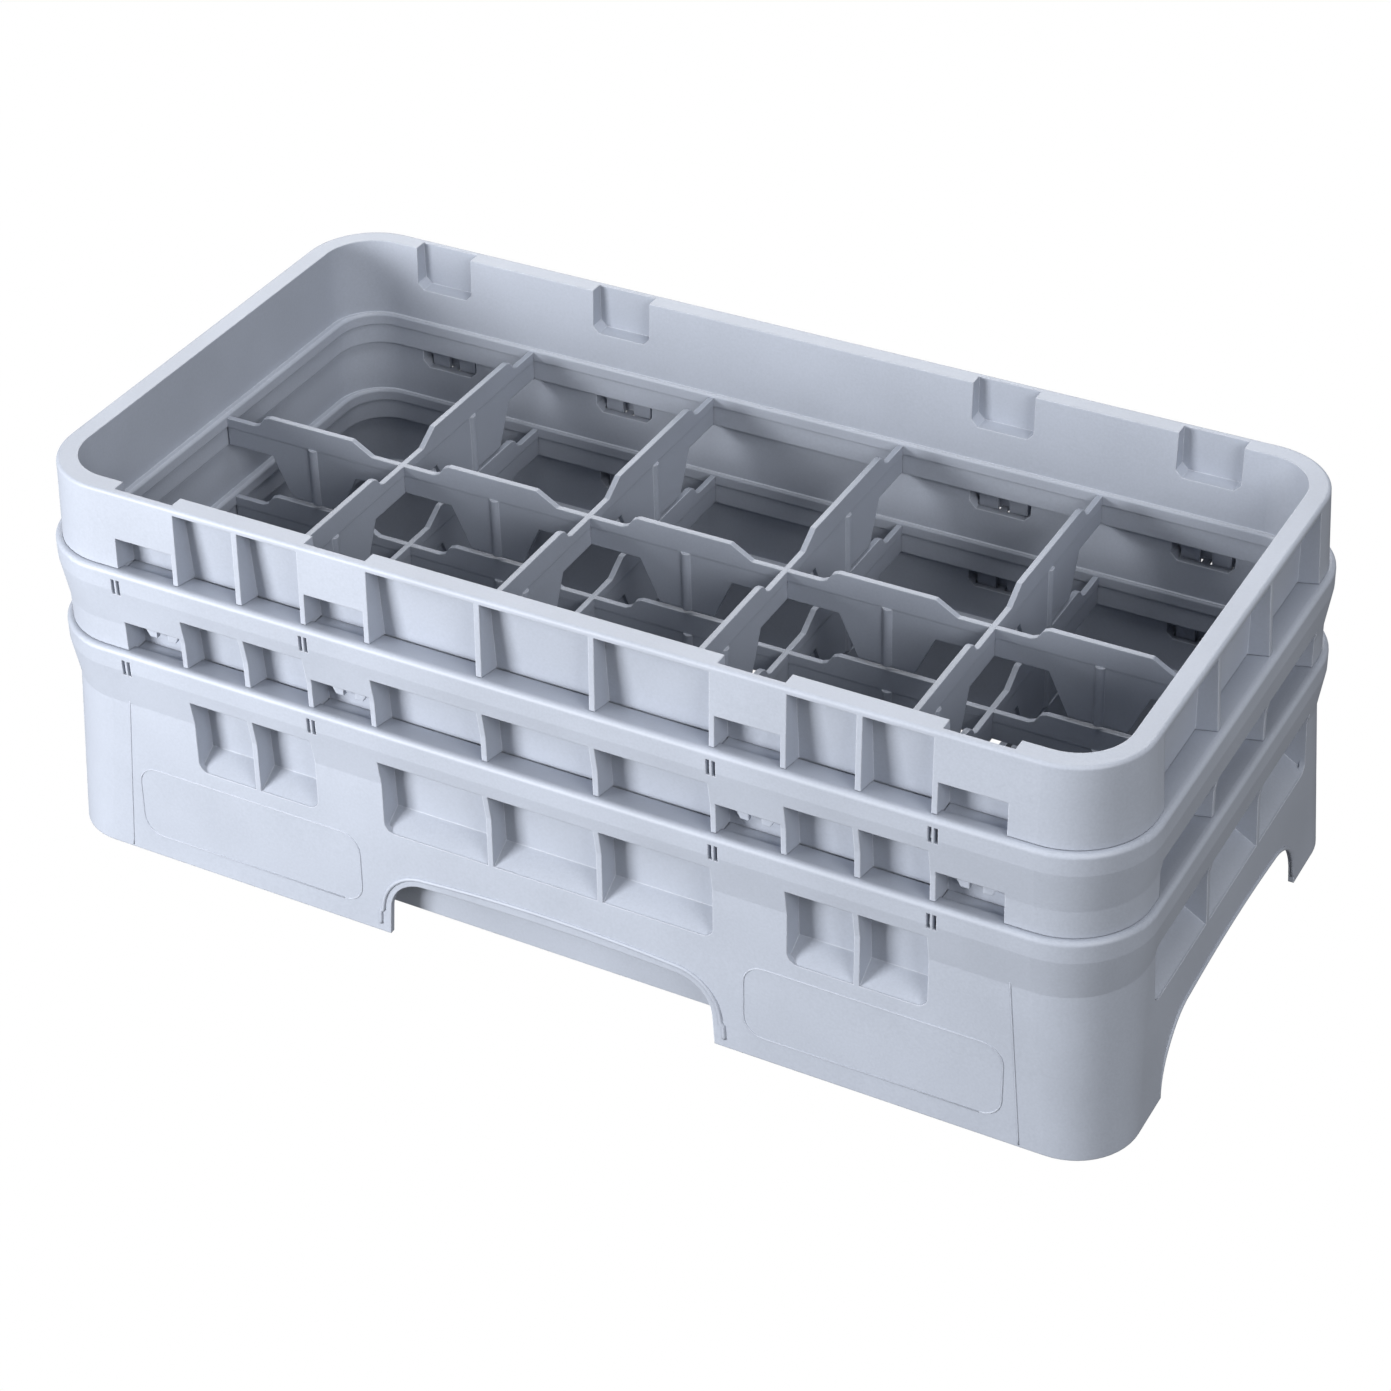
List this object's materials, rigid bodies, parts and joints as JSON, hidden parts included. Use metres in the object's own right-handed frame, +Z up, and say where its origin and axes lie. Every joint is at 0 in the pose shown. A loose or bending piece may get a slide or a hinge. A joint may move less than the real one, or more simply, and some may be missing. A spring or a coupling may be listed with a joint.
{
  "type": "glass rack",
  "caption": "Half-size moulded dishwasher glass rack with square compartments: an open base rack and two clip-on extenders that lift off for taller stemware.",
  "frame": {"origin": "centre of the footprint, on the surface the rack stands on", "axes": "+X along the long side, +Y along the short side towards the back, +Z up"},
  "size_m": [0.5016, 0.2556, 0.1842],
  "materials": {
    "wall_polypropylene": "fine matte moulded grain",
    "divider_polypropylene": "fine matte moulded grain",
    "floor_polypropylene": "fine matte moulded grain",
    "prong_polypropylene": "fine matte moulded grain"
  },
  "bodies": {
    "base": {"base_shell": "wall_polypropylene", "base_floor_lattice": "floor_polypropylene", "base_long_divider": "divider_polypropylene", "base_cross_divider_1": "divider_polypropylene", "base_cross_divider_2": "divider_polypropylene", "base_cross_divider_3": "divider_polypropylene", "base_cross_divider_4": "divider_polypropylene"},
    "middle": {"middle_frame": "wall_polypropylene", "middle_snap_prongs": "prong_polypropylene", "middle_long_divider": "divider_polypropylene", "middle_cross_divider_1": "divider_polypropylene", "middle_cross_divider_2": "divider_polypropylene", "middle_cross_divider_3": "divider_polypropylene", "middle_cross_divider_4": "divider_polypropylene"},
    "top": {"top_frame": "wall_polypropylene", "top_snap_prongs": "prong_polypropylene", "top_long_divider": "divider_polypropylene", "top_cross_divider_1": "divider_polypropylene", "top_cross_divider_2": "divider_polypropylene", "top_cross_divider_3": "divider_polypropylene", "top_cross_divider_4": "divider_polypropylene"}
  },
  "joints": [
    {"name": "middle_lift", "type": "slide", "parent": "base", "child": "middle", "axis": [0, 0, 1], "range_m": [0, 0.06]},
    {"name": "top_lift", "type": "slide", "parent": "middle", "child": "top", "axis": [0, 0, 1], "range_m": [0, 0.06]}
  ]
}
